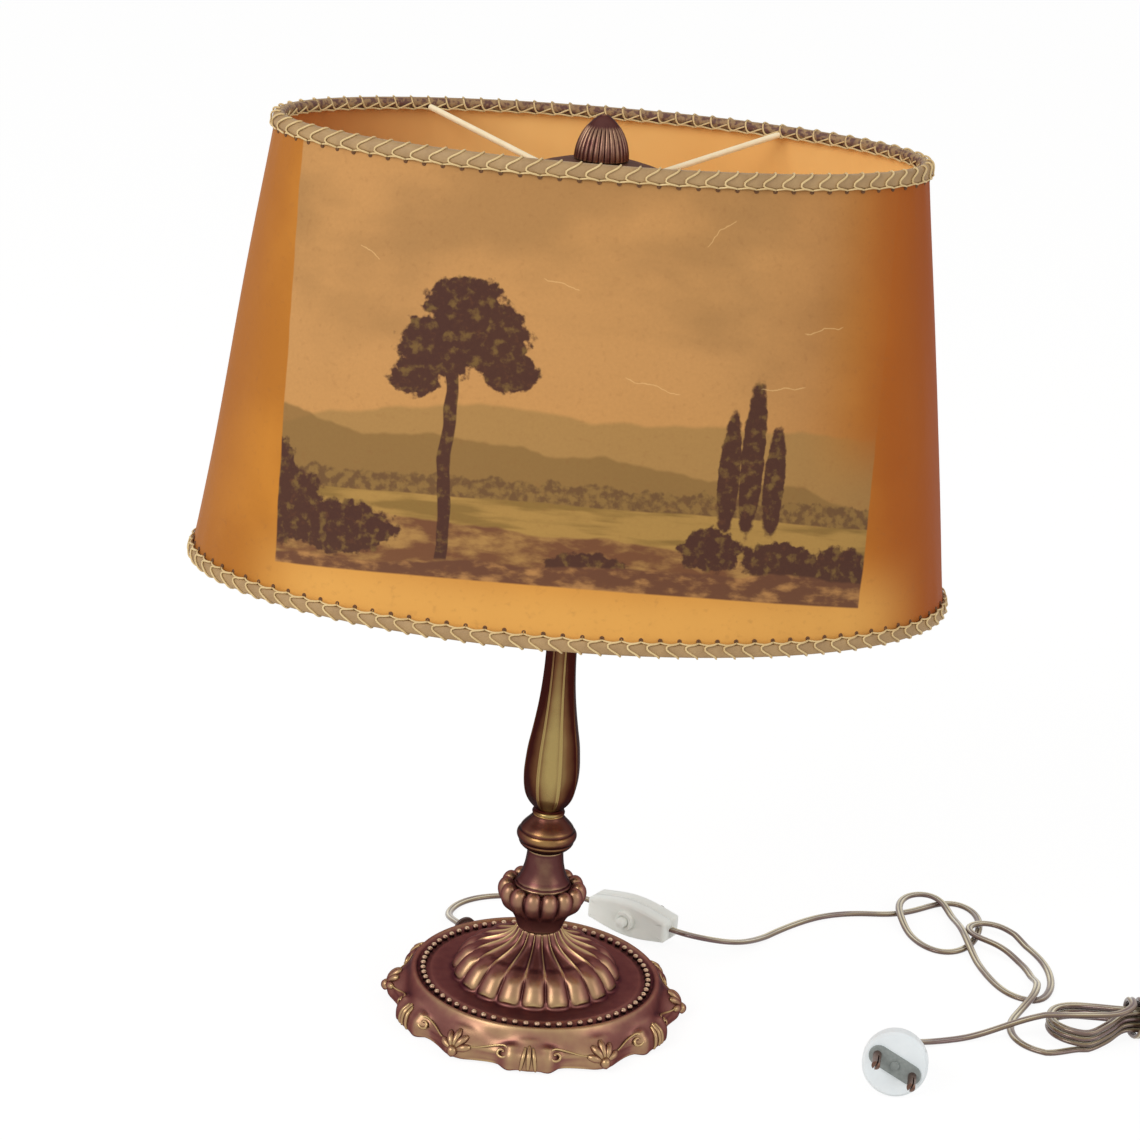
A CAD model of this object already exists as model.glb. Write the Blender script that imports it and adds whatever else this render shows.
import bmesh
import bpy
import functools
import math
import numpy as np
from mathutils import Matrix, Vector


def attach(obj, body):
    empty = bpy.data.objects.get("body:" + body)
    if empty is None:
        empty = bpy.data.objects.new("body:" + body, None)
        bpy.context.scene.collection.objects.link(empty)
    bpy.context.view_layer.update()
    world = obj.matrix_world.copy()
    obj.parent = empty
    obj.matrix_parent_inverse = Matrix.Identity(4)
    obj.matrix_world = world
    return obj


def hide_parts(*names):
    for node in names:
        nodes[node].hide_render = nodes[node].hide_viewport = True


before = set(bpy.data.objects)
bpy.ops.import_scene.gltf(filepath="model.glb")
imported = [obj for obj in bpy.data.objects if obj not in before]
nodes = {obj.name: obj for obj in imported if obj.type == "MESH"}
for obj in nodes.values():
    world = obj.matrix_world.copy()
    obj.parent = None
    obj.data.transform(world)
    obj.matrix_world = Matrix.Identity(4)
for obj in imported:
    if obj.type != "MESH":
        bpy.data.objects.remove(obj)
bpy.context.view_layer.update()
scene = bpy.context.scene
scene.view_settings.view_transform = "Standard"

# Studio: a wide pale floor that runs into a white backdrop, a large soft lamp from the left
# front and a weaker one from the right. Camera, mirror and glass rays see plain white.
MM = 0.001
WHITE = (1, 1, 1, 1)
FILL_LEVEL, CARD_GLOW, CARD_SHARE = 0.62, 1.07, 0.84
FLOOR_HALF, LAMPS_AIM = 6.0, Vector((0, 0, 0.22))
# Name, place and width in metres, and watts
LAMPS = (("key", (-1.15, -1.25, 1.25), 1.0, 17), ("side", (1.5, -0.9, 0.9), 0.9, 5))


def ink(hex_colour):
    """An sRGB hex colour as linear red, green, blue and alpha."""
    parts = [int(hex_colour[i:i + 2], 16) / 255 for i in (1, 3, 5)]
    return tuple(c / 12.92 if c <= 0.04045 else ((c + 0.055) / 1.055) ** 2.4 for c in parts) + (1,)


def feed(tree, node, settings):
    """Sets a node: a key is an input's place or name, or else a property. Outputs are linked."""
    for key, value in settings.items():
        if not (isinstance(key, int) or key in node.inputs):
            setattr(node, key, value)
        elif isinstance(value, bpy.types.NodeSocket):
            tree.links.new(value, node.inputs[key])
        else:
            node.inputs[key].default_value = value
    return node


def add(tree, kind, settings=None):
    """One new node with its settings and links."""
    return feed(tree, tree.nodes.new(kind), settings or {})


def maths(tree, operation, *values):
    """One sum on outputs or plain numbers."""
    return add(tree, "ShaderNodeMath", {"operation": operation, **dict(enumerate(values))}).outputs[0]


def ranged(tree, value, low, high, start=0.0, end=1.0, kind="LINEAR"):
    """A value from low to high turned into one from start to end, and held there."""
    return add(tree, "ShaderNodeMapRange", {"interpolation_type": kind, 0: value, 1: low, 2: high,
                                            3: start, 4: end}).outputs[0]


def seen_ray(tree):
    """1 for rays from the camera, off metal and through glass."""
    path = add(tree, "ShaderNodeLightPath").outputs
    eye = maths(tree, "MAXIMUM", path["Is Camera Ray"], path["Is Glossy Ray"])
    return maths(tree, "MAXIMUM", eye, path["Is Transmission Ray"])


world = bpy.data.worlds.new("white_studio")
scene.world = world
world.use_nodes = True
sky = world.node_tree
sky.nodes.clear()
sky_light = add(sky, "ShaderNodeBackground", {0: WHITE, 1: ranged(sky, seen_ray(sky), 0, 1, FILL_LEVEL, 1)})
add(sky, "ShaderNodeOutputWorld", {0: sky_light.outputs[0]})

floor_mesh = bpy.data.meshes.new("floor")
corners = [(FLOOR_HALF * x, FLOOR_HALF * y, 0) for x, y in ((-1, -1), (1, -1), (1, 1), (-1, 1))]
floor_mesh.from_pydata(corners, [], [(0, 1, 2, 3)])
floor = bpy.data.objects.new("floor", floor_mesh)
scene.collection.objects.link(floor)
floor_paint = bpy.data.materials.new("white_card")
floor_paint.use_nodes = True
card = floor_paint.node_tree
card.nodes.clear()
card_matt = add(card, "ShaderNodeBsdfDiffuse", {0: ink("#F4F3F1")})
card_glow = add(card, "ShaderNodeEmission", {0: WHITE, 1: CARD_GLOW})
card_mix = add(card, "ShaderNodeMixShader", {0: maths(card, "MULTIPLY", seen_ray(card), CARD_SHARE),
                                             1: card_matt.outputs[0], 2: card_glow.outputs[0]})
add(card, "ShaderNodeOutputMaterial", {0: card_mix.outputs[0]})
floor_mesh.materials.append(floor_paint)

for lamp_name, place, size, watts in LAMPS:
    light = bpy.data.lights.new(lamp_name, "AREA")
    light.size = size
    light.energy = watts
    holder = bpy.data.objects.new(lamp_name, light)
    holder.location = place
    holder.rotation_euler = (LAMPS_AIM - Vector(place)).to_track_quat("-Z", "Y").to_euler()
    scene.collection.objects.link(holder)

# Camera: the photograph was taken from 1.3 m, a little above the shade, with the picture turned.
PHOTO_PX, FOCAL_PX, SENSOR_W = 1140, 2939, 36
EYE_AT = Vector((0, -1297, 662.6)) * MM
tip_down, swing, roll = map(math.radians, (18.61, 0.04, 4.63))
level = Vector((math.cos(swing), -math.sin(swing), 0))
straight_on = Vector((math.sin(swing), math.cos(swing), 0))
ahead = math.cos(tip_down) * straight_on - Vector((0, 0, math.sin(tip_down)))
above = level.cross(ahead)
right = math.cos(roll) * level + math.sin(roll) * above
upward = -math.sin(roll) * level + math.cos(roll) * above
camera_data = bpy.data.cameras.new("photograph")
camera_data.sensor_fit = "HORIZONTAL"
camera_data.sensor_width = SENSOR_W
camera_data.lens = SENSOR_W * FOCAL_PX / PHOTO_PX
camera = bpy.data.objects.new("photograph", camera_data)
camera.matrix_world = Matrix.Translation(EYE_AT) @ Matrix((right, upward, -ahead)).transposed().to_4x4()
scene.collection.objects.link(camera)
scene.camera = camera


# Flex: flat twin lamp flex in clear gold plastic, one unbroken length from the bush at the back
# of the foot through the switch, into a tied hank, and out of the hank to the plug.
def read(items, name, width=1, kind=float):
    """One property of a mesh's items as an array."""
    values = np.empty(len(items) * width, kind)
    items.foreach_get(name, values)
    return values.reshape(-1, width) if width > 1 else values


def shaped(name, verts, faces, uvs=None, smooth=True):
    """A mesh object with its faces outward, from points and UV in millimetres."""
    mesh = bpy.data.meshes.new(name)
    mesh.from_pydata([tuple(p) for p in np.asarray(verts, float) * MM], [], [tuple(f) for f in faces])
    if uvs is not None:
        at_corner = (np.asarray(uvs, float) * MM)[read(mesh.loops, "vertex_index", kind=int)]
        mesh.uv_layers.new(name="surface").data.foreach_set("uv", at_corner.ravel())
    mesh.polygons.foreach_set("use_smooth", [smooth] * len(mesh.polygons))
    skin = bmesh.new()
    skin.from_mesh(mesh)
    bmesh.ops.recalc_face_normals(skin, faces=skin.faces)
    skin.to_mesh(mesh)
    skin.free()
    mesh.update()
    obj = bpy.data.objects.new(name, mesh)
    scene.collection.objects.link(obj)
    return obj


def piece(name, verts, faces, body, uvs=None, smooth=True):
    """A shaped object that rides on a body."""
    obj = shaped(name, verts, faces, uvs, smooth)
    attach(obj, body)
    return obj


def grid_faces(rows, columns, close_rows=False):
    """Quads of rows of points that close round their columns, and from last row to first if asked."""
    def at(i, j):
        """Number of the point in a row and a column."""
        return i % rows * columns + j % columns
    return [(at(i, j), at(i, j + 1), at(i + 1, j + 1), at(i + 1, j))
            for i in range(rows if close_rows else rows - 1) for j in range(columns)]


def tube_faces(rows, columns):
    """Quads of a row of rings, with a face over each end."""
    last = (rows - 1) * columns
    ends = [tuple(range(columns - 1, -1, -1)), tuple(range(last, last + columns))]
    return grid_faces(rows, columns) + ends


def spun(points, angle, first=0, second=1):
    """Points turned by an angle from one axis towards another."""
    p = np.array(points, float)
    a, b = p[..., first].copy(), p[..., second].copy()
    p[..., first] = math.cos(angle) * a - math.sin(angle) * b
    p[..., second] = math.sin(angle) * a + math.cos(angle) * b
    return p


UP = np.array([0, 0, 1.0])
FLEX_W, FLEX_T, FLOOR_GAP, STRAND_AIR, SEAT_GAP = 4.6, 2.3, 0.05, 0.5, 0.1
lie = FLEX_T / 2 + FLOOR_GAP
over = lie + FLEX_T + STRAND_AIR
BUSH_ANGLE, BUSH_OUT, BUSH_Z = math.radians(120), 76.1, 7
bush_end = spun((BUSH_OUT, 0, BUSH_Z), BUSH_ANGLE)
SWITCH_AT, SWITCH_TURN, SWITCH_HALF = np.array([48, 92, 9.0]), math.radians(-33), 23.5
switch_way = spun((1, 0, 0), SWITCH_TURN)
# Routes in millimetres: a point without a height lies on the floor
exit_route = [
    bush_end, (-42, 73, 6.4), (-46, 83, 3.6), (-48, 94), (-43, 107), (-31, 117), (-17, 121),
    (-2, 121, 3), (10, 116.5, 7.5), SWITCH_AT - switch_way * (SWITCH_HALF + 6),
    SWITCH_AT - switch_way * SWITCH_HALF]
run_route = [
    SWITCH_AT + switch_way * SWITCH_HALF, SWITCH_AT + switch_way * (SWITCH_HALF + 8), (93, 72, 8),
    (105, 80, 4.6), (117, 95), (133, 113), (150, 127), (169, 134), (187, 136), (201, 144), (213, 154),
    (223, 157), (231, 150), (234, 137), (232, 123), (227, 108), (219, 97), (209, 94), (200, 101),
    (194, 115), (191, 129, over), (191, 143, over), (197, 156, over), (207, 160, over),
    (215, 153, over), (219, 140), (222, 122, over), (224, 106, over), (227, 88), (231, 71), (238, 54),
    (247, 46), (256, 49), (262, 61), (264, 77), (262, 93), (256, 109), (248, 122, over),
    (238, 129, over), (229, 127, over), (225, 119, over), (230, 110, over), (241, 102, over), (250, 89),
    (254, 74), (255, 60, over), (251, 46, over), (243, 33), (237, 20), (236, 7), (241, -4), (251, -9)]
lead_route = [
    (266, 6, 15.2), (257, 6, 14.6), (249, 6, 13.6), (241, 5, 11), (231, 4, 7), (221, 2, 3.2), (211, -1),
    (201, -5), (192, -10, 2.2), (184, -16, 4.8), (179, -24, 8.2)]
PLUG_UP, PLUG_TURN, PLUG_ROLL = map(math.radians, (11, -8, -25))
PLUG_R, PLUG_DISC_T, PLUG_LEN, PLUG_LEAD = 15.5, 8, 26, 7
plug_at = np.array([171, -64, PLUG_R * math.cos(PLUG_UP) + PLUG_DISC_T * math.sin(PLUG_UP) + SEAT_GAP])
plug_way = spun((0, -math.cos(PLUG_UP), math.sin(PLUG_UP)), PLUG_TURN)
plug_back = plug_at - plug_way * PLUG_LEN

# The hank: four layers of one turn, drawn in at the waist, then four turns round that waist.
HANK_AT, HANK_TURN, HANK_REACH, LAYERS, LAYER_STEP = np.array([306, 19, 0.0]), math.radians(10), 56, 4, 3
HALF_RUN, FOLD_R, WAIST_HALF, WAIST_Y, WAIST_SAG = 37, 14.6, 12.5, 2.7, 0.3
WRAP_R, WRAP_Y, WRAP_PITCH, WRAPS, WRAP_START, WRAP_LESS = 9.3, 0.3, 5.5, 4, 95, 0.1
RUN_STEPS, FOLD_STEPS, WRAP_STEPS = 7, 5, 24
HALF_TURN = RUN_STEPS + FOLD_STEPS
hank_top = lie + (LAYERS - 1) * LAYER_STEP
wrap_x, wrap_z = (WRAPS - WRAP_LESS) * WRAP_PITCH / 2, WRAP_R + FLEX_T / 2 + SEAT_GAP
wrap_top = wrap_z + WRAP_R
hank_lift = wrap_z - (lie + hank_top) / 2 - WAIST_SAG


def eased(share):
    """A smooth step from 0 to 1."""
    share = np.clip(share, 0, 1)
    return share * share * (3 - 2 * share)


def hank_point(turn_no, s):
    """A point of one turn: a run, a fold, and the same again turned half round and climbing."""
    z = lie + LAYER_STEP * (turn_no + eased((s - HALF_TURN) / RUN_STEPS))
    way, q = (-1, s - HALF_TURN) if s >= HALF_TURN else (1, s)
    if q <= RUN_STEPS:
        x = HALF_RUN * (2 * q / RUN_STEPS - 1)
        drawn = eased((abs(x) - WAIST_HALF) / (HALF_RUN - WAIST_HALF))
        return way * x, -way * (WAIST_Y + (FOLD_R - WAIST_Y) * drawn), z + hank_lift * (1 - drawn)
    a = math.radians(-90 + 180 * (q - RUN_STEPS) / FOLD_STEPS)
    return way * (HALF_RUN + FOLD_R * math.cos(a)), way * FOLD_R * math.sin(a), z


hank_turns = [np.array(hank_point(0, 0)) - (FLEX_W, 0, 0)]
for turn_no in range(LAYERS):
    steps = 2 * HALF_TURN if turn_no < LAYERS - 1 else HALF_TURN + 1
    hank_turns += [hank_point(turn_no, s) for s in range(steps)]
hank_turns += [
    (HALF_RUN - 9, FOLD_R + 0.6, hank_top + 2), (HALF_RUN - 16, FOLD_R - 0.6, hank_top + 5.2),
    (wrap_x + 4.4, FOLD_R - 3.6, wrap_top - 2.2), (wrap_x + 1.4, 6.2, wrap_top - 0.3)]
wrap_no = np.arange(WRAPS * WRAP_STEPS + 1) / WRAP_STEPS
wrap_angle = np.radians(WRAP_START + 360 * wrap_no)
wrap_tops = np.stack([0 * wrap_no, np.cos(wrap_angle), np.sin(wrap_angle)], axis=1)
wrap_axis = np.stack(np.broadcast_arrays(wrap_x - WRAP_PITCH * wrap_no, WRAP_Y, wrap_z), axis=1)
hank_leave = [
    (-wrap_x - 1.5, -3.9, wrap_top - 0.3), (-wrap_x - 4.8, -7, wrap_top - 1.1),
    (-wrap_x - 9.4, -8.8, wrap_top - 2), (-wrap_x - 14.5, -9, wrap_top - 2.8)]
hank_local = np.concatenate([hank_turns, wrap_axis + WRAP_R * wrap_tops, hank_leave])
on_way = exit_route + run_route, lead_route + [plug_back - plug_way * PLUG_LEAD, plug_back]
to_hank, from_hank = ([p if len(p) == 3 else (*p, lie) for p in route] for route in on_way)
flex_points = np.concatenate([to_hank, spun(hank_local, HANK_TURN) + HANK_AT, from_hank])
flex_tops = np.tile(UP, (len(flex_points), 1))
first_wrap = len(to_hank) + len(hank_turns)
flex_tops[first_wrap:first_wrap + len(wrap_tops)] = spun(wrap_tops, HANK_TURN)


def smooth_line(points, tops, step):
    """A curve through the points, about step apart, and the way its flat side faces."""
    line, faces_up, tiny = [], [], 1e-6
    for i in range(len(points) - 1):
        p0, p1, p2, p3 = (points[min(max(i + k, 0), len(points) - 1)] for k in (-1, 0, 1, 2))
        before, span, after = (max(np.linalg.norm(b - a), tiny) for a, b in ((p0, p1), (p1, p2), (p2, p3)))
        m1 = (p2 - p0) / (before + span) * span if i else p2 - p1
        m2 = (p3 - p1) / (span + after) * span if i < len(points) - 2 else p2 - p1
        pieces = max(1, round(span / step))
        for t in np.arange(pieces) / pieces:
            line.append((2 * t**3 - 3 * t**2 + 1) * p1 + (t**3 - 2 * t**2 + t) * m1
                        + (3 * t**2 - 2 * t**3) * p2 + (t**3 - t**2) * m2)
            faces_up.append((1 - t) * tops[i] + t * tops[i + 1])
    return np.array(line + [points[-1]]), np.array(faces_up + [tops[-1]])


def unit(rows):
    """Each row as a vector of length 1."""
    return rows / np.linalg.norm(rows, axis=-1, keepdims=True)


def swept(line, tops, section):
    """Rings of the section, (across, over) points, square to the line."""
    along = unit(np.gradient(line, axis=0))
    across = unit(np.cross(along, tops))
    top = np.cross(across, along)
    section = np.asarray(section, float)[None, :, :, None]
    return line[:, None] + section[:, :, 0] * across[:, None] + section[:, :, 1] * top[:, None]


def run_along(points):
    """How far along their line the points lie."""
    return np.concatenate([[0], np.cumsum(np.linalg.norm(np.diff(points, axis=0), axis=1))])


FLEX_STEP, EASE_ROUNDS = 2.2, 12
flex_line, flex_up = smooth_line(flex_points, flex_tops, FLEX_STEP)
lies_loose = (np.abs(flex_line[:, :1] - HANK_AT[0]) > HANK_REACH)[1:-1]
for _ in range(EASE_ROUNDS):
    eased_line = 0.25 * flex_line[:-2] + 0.5 * flex_line[1:-1] + 0.25 * flex_line[2:]
    flex_line[1:-1] = np.where(lies_loose, eased_line, flex_line[1:-1])
flex_line[:, 2] = np.maximum(flex_line[:, 2], lie)
WIRE_R, WIRE_APART, WIRE_END, WIRE_POINTS = 1.08, 0.86, 138, 9
wire_angles = np.radians(np.linspace(-WIRE_END, WIRE_END, WIRE_POINTS))
flex_section = [(WIRE_R * (WIRE_APART + math.cos(a)), WIRE_R * math.sin(a)) for a in wire_angles]
flex_section += [(-x, -y) for x, y in flex_section]
flex_run = run_along(flex_line)
FLEX_ROUND = 12
n_ring, n_side = len(flex_line), len(flex_section)
around = np.linspace(0, FLEX_ROUND, n_side)
flex_uv = np.stack([np.tile(around, n_ring), np.repeat(flex_run, n_side)], axis=1)
flex_verts = swept(flex_line, flex_up, flex_section).reshape(-1, 3)
flex = piece("flex", flex_verts, tube_faces(n_ring, n_side), "lamp", flex_uv)


def finish_of(name):
    """A new material with its tree and Principled shader."""
    material = bpy.data.materials.new(name)
    material.use_nodes = True
    return material, material.node_tree, material.node_tree.nodes["Principled BSDF"]


def surface_of(tree):
    """The piece's own UV, in metres."""
    return add(tree, "ShaderNodeUVMap", {"uv_map": "surface"}).outputs[0]


def noise(tree, at, size_mm, detail):
    """A cloudy pattern with blots of a size."""
    return add(tree, "ShaderNodeTexNoise",
               {0: at, "Scale": 1 / (size_mm * MM), "Detail": detail}).outputs["Fac"]


def ramp(tree, share, stops):
    """A colour that follows a share through (place, hex colour) stops."""
    node = add(tree, "ShaderNodeValToRGB", {0: share})
    marks = node.color_ramp.elements
    for k, (spot, tone) in ((0, stops[0]), (1, stops[-1])):
        marks[k].position = spot
        marks[k].color = ink(tone)
    for spot, tone in stops[1:-1]:
        marks.new(spot).color = ink(tone)
    return node.outputs[0]


def blend(tree, first, second, share):
    """Two colours, hex or outputs, mixed by a share."""
    pair = {6: first, 7: second}
    pair = {key: ink(tone) if isinstance(tone, str) else tone for key, tone in pair.items()}
    return add(tree, "ShaderNodeMix", {"data_type": "RGBA", 0: share, **pair}).outputs[2]


# Clear gold PVC over bright stranded wire: a bright line along the crest of each wire, a dark line
# in the groove between, and brown places along its length. The groove is half way round the UV.
gold_pvc, tree, shader = finish_of("clear_gold_pvc")
place = surface_of(tree)
round_it = add(tree, "ShaderNodeSeparateXYZ", {0: place}).outputs[0]
from_groove = maths(tree, "ABSOLUTE", maths(tree, "SUBTRACT", round_it, FLEX_ROUND / 2 * MM))
lines = ramp(tree, ranged(tree, from_groove, 0, FLEX_ROUND / 2 * MM),
             [(0, "#3A2A28"), (0.07, "#6E5A48"), (0.16, "#D9CCA8"), (0.25, "#E6DBBA"), (0.33, "#94805A"),
              (0.5, "#5E4638"), (1, "#4E3A30")])
drawn_out = add(tree, "ShaderNodeMapping", {0: place, "Scale": (1, 0.12, 1)}).outputs[0]
brown = ranged(tree, noise(tree, drawn_out, 4, 2.0), 0.42, 0.62, 0, 0.82)
feed(tree, shader, {"Base Color": blend(tree, lines, "#65484A", brown), "Metallic": 0.3, "Roughness": 0.24,
                    "Coat Weight": 0.6})
flex.data.materials.append(gold_pvc)
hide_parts("cord_base_to_switch", "cord_switch_to_hank", "cord_hank", "cord_to_plug")


# Foot: one brass casting with a patina, rubbed bright on its high places. A scalloped edge with
# ribbed tongues, scrolls and shells, a ridge, a bead ring, a flat shelf and a gadrooned dome.
def store(mesh, name, values):
    """Keeps one number for each point of a mesh."""
    layer = mesh.attributes.get(name) or mesh.attributes.new(name, "FLOAT", "POINT")
    layer.data.foreach_set("value", np.asarray(values, np.float32))


SIDE_TOUCH, TOP_TOUCH = 0.85, 0.35


def worn_places(mesh, reach_mm, handled, rounds=2):
    """Stores how rubbed each point is, 0 to 1: more where it stands proud and on the front and back."""
    co, no = read(mesh.vertices, "co", 3), read(mesh.vertices, "normal", 3)
    a, b = read(mesh.edges, "vertices", 2, int).T

    def gathered(at_a, at_b):
        """Sum at each point of what its edges bring."""
        return np.bincount(a, at_a, minlength=len(co)) + np.bincount(b, at_b, minlength=len(co))

    count = np.maximum(gathered(None, None), 1)
    edge = (co[a] - co[b]) / ((np.linalg.norm(co[a] - co[b], axis=1) + 1e-9) ** 2)[:, None]
    rise = gathered((edge * no[a]).sum(1), -(edge * no[b]).sum(1)) / count
    for _ in range(rounds):
        rise = 0.5 * rise + 0.5 * gathered(rise[b], rise[a]) / count
    touched = handled * (SIDE_TOUCH * np.abs(no[:, 1]) + TOP_TOUCH * (no[:, 2] - 1))
    store(mesh, "worn", np.clip(0.5 + 0.5 * rise * reach_mm * MM + touched, 0, 1))


def drawn_curve(points, per_mm):
    """A smooth curve through (radius, height) points, with about per_mm points in a millimetre."""
    flat = np.pad(np.array(points, float), ((0, 0), (0, 1)))
    return smooth_line(flat, np.ones_like(flat), 1 / per_mm)[0][:, :2]


def round_axis(r, z, theta):
    """Points from radii, heights and angles."""
    return np.stack(np.broadcast_arrays(r * np.cos(theta), r * np.sin(theta), z), axis=-1)


def bump(x, low, high, soft):
    """1 between low and high, easing to 0 over soft."""
    return eased((x - low) / soft + 1) * eased((high - x) / soft + 1)


FOOT_R, FOOT_WAVE, FOOT_SWELL, FLANGE_R, FOOT_FINE = 69.3, 2.0, 0.4, 61.4, 1.9
SCALLOPS, SHELLS, GADROONS, SIDES_PER_GADROON = 12, 6, 20, 36
# Heights of the relief, and its bands of radius or height as (low, high, softness)
LOBE_RISE, LOBE_SINK, LOBE_ROUND, LOBE_BAND = 4.2, 2.0, 0.97, (35, 37.6, 8)
LOBE_END, LOBE_ARCH, LOBE_FALL = 38.4, 3.0, 1.6
FLUTE_SINK, FLUTE_BAND = 1.7, (14, 24, 5)
FILLET_RISE, FILLET_W, FILLET_BAND = 0.7, 0.17, (12.5, 29, 5)
SCALLOP_RISE, SCALLOP_BAND, SCALLOP_FROM = 1.1, (64, 68, 2.4), 4
SCROLL_RISE, SCROLL_AT, SCROLL_W, SCROLL_BAND, SCROLL_FROM = 1.9, 8.2, 3.1, (66.2, 68.9, 2.6), 1.5
HOLLOW_SINK, HOLLOW_TURN, HOLLOW_BAND, HOLLOW_FROM = 0.8, (15, 22, 5), (2.6, 6.2, 2.6), 66
foot_line = drawn_curve([
    (5.3, 43.5), (9.4, 43.5), (10.6, 42.9), (11.3, 41.4), (12.8, 39), (15.6, 36.6), (19.5, 34.6),
    (24, 32.9), (28.5, 30.8), (32.8, 27.8), (36.2, 24.1), (38.3, 20.9), (39.3, 18.7), (40.6, 18),
    (46, 17.9), (51.2, 18), (52.2, 17.5), (55, 17), (57.4, 17.4), (58.4, 18.4), (59.5, 18.9),
    (60.5, 18.4), (61.4, 16.9), (62.8, 14.4), (64.6, 11.9), (66.6, 9.7), (68.4, 7.6), (69.3, 5.2),
    (69.5, 3.2), (69.1, 1.6), (68.4, 1.02), (64, 1.02)],
    FOOT_FINE)


def scalloped(r, z, theta):
    """Radii and heights drawn out to the scalloped edge, and up on its tongues."""
    edge = FOOT_R + FOOT_WAVE * np.cos(SCALLOPS * theta) + FOOT_SWELL * np.cos(SHELLS * theta)
    share = np.maximum(r - FLANGE_R, 0) / (FOOT_R - FLANGE_R)
    swell = SCALLOP_RISE * np.cos(SCALLOPS * theta) * bump(r, *SCALLOP_BAND) * (z > SCALLOP_FROM)
    return np.minimum(r, FLANGE_R) + share * (edge - FLANGE_R), z + swell


def foot_relief(r, z, theta):
    """How far the casting stands out of its plain section."""
    x = 2 * ((theta * GADROONS / (2 * np.pi) + 0.5) % 1) - 1
    arch = np.sqrt(1 - LOBE_ROUND * x**2)
    lobe_end = np.clip((LOBE_END + LOBE_ARCH * arch - r) / LOBE_FALL, 0, 1)
    lobe = (LOBE_RISE * arch - LOBE_SINK) * bump(r, *LOBE_BAND) * lobe_end
    flute = -FLUTE_SINK * (1 - x**2) * bump(r, *FLUTE_BAND)
    fillet = FILLET_RISE * np.exp(-((1 - np.abs(x)) / FILLET_W) ** 2) * bump(r, *FILLET_BAND)
    pitch = 360 / SHELLS
    turn = np.abs((np.degrees(theta) - 90 + pitch / 2) % pitch - pitch / 2)
    scroll = np.exp(-((turn - SCROLL_AT) / SCROLL_W) ** 2) * bump(r, *SCROLL_BAND) * (z > SCROLL_FROM)
    hollow = bump(turn, *HOLLOW_TURN) * bump(z, *HOLLOW_BAND) * (r > HOLLOW_FROM)
    return lobe + flute + fillet + SCROLL_RISE * scroll - HOLLOW_SINK * hollow


n_foot = GADROONS * SIDES_PER_GADROON
foot_theta = np.arange(n_foot) * 2 * np.pi / n_foot
foot_way = unit(np.gradient(foot_line, axis=0))
foot_lift = foot_relief(*foot_line.T[..., None], foot_theta)
foot_r, foot_z = scalloped(*foot_line.T[..., None], foot_theta)
foot_r, foot_z = foot_r - foot_way[:, 1:] * foot_lift, foot_z + foot_way[:, :1] * foot_lift
foot_verts = round_axis(foot_r, foot_z, foot_theta).reshape(-1, 3)
foot_faces = [f[::-1] for f in grid_faces(len(foot_line), n_foot)]
foot = piece("foot", foot_verts, foot_faces, "lamp")
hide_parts("foot_casting")


def lofted(points, radii, sides, lift_way):
    """A closed round bar along points with a radius at each, as verts and faces."""
    turn = 2 * np.pi * np.arange(sides) / sides
    rings = swept(points, np.asarray(lift_way, float), np.stack([np.cos(turn), np.sin(turn)], axis=1))
    rings = points[:, None] + (rings - points[:, None]) * np.asarray(radii)[:, None, None]
    return rings.reshape(-1, 3), tube_faces(len(points), sides)


flange_line = foot_line[(foot_line[:, 0] > FLANGE_R) & (foot_line[:, 1] > SCROLL_FROM)]
ornament_verts, ornament_faces = [], []
BAR_SIDES, FLANGE_FACING = 8, 0.9


def carve(degrees, drop, radii, proud=0.25):
    """A raised bar on the flange: degrees round from +Y, drop 0 at the ridge to 1 at the edge."""
    theta = np.radians(90 + degrees)
    at = np.clip(drop, 0, 1) * (len(flange_line) - 1)
    r, z = (np.interp(at, np.arange(len(flange_line)), column) for column in flange_line.T)
    way = unit(round_axis(1, FLANGE_FACING, theta))
    points = round_axis(*scalloped(r, z, theta), theta) + way * (radii * proud)[:, None]
    verts, faces = lofted(points, radii, BAR_SIDES, way)
    start = len(ornament_verts)
    ornament_verts.extend(verts)
    ornament_faces.extend(tuple(start + k for k in f) for f in faces)


# Three ribs fan out down each tongue, and the middle one starts highest and is fattest
TONGUE_FAN, TONGUE_FROM, TONGUE_RUN, TONGUE_THIN, TONGUE_FAT = 1.5, 0.36, 0.6, 0.3, 1.05
SIDE_LATER, SIDE_LESS = 0.05, 0.2
s = np.linspace(0, 1, 15)
for k in (-1, 0, 1):
    fat = TONGUE_FAT - SIDE_LESS * abs(k)
    carve(TONGUE_FAN * k * (1 + s), TONGUE_FROM + SIDE_LATER * abs(k) + TONGUE_RUN * s,
          TONGUE_THIN + fat * np.sin(np.pi * (0.12 + 0.75 * s)))
# A scroll on each side of it curls in from a tail that starts at the shell. CURL_DEGREE is the
# millimetres in a degree there, and CURL_FALL is the drop in a millimetre
CURL_STEPS, CURL_AT, CURL_DROP, TAIL_AT, TAIL_DROP, CURL_PROUD = 40, 11.0, 0.6, 25, 0.64, 1.6
CURL_TURN, CURL_SIZE, CURL_DEGREE, CURL_FALL, TAIL_STEPS = (90, 520), (3.9, 0.8), 1.2, 0.056, 13
TAIL_THIN, TAIL_FULL, CURL_FULL = 0.3, 0.65, 0.85
curl_turn = np.radians(np.linspace(*CURL_TURN, CURL_STEPS))
curl_r = np.linspace(*CURL_SIZE, CURL_STEPS)
curl_at = CURL_AT + curl_r * np.cos(curl_turn) / CURL_DEGREE
curl_drop = CURL_DROP - CURL_FALL * curl_r * np.sin(curl_turn)
tail = np.arange(TAIL_STEPS) / TAIL_STEPS
scroll_at = np.concatenate([TAIL_AT + (curl_at[0] - TAIL_AT) * tail, curl_at])
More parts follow.
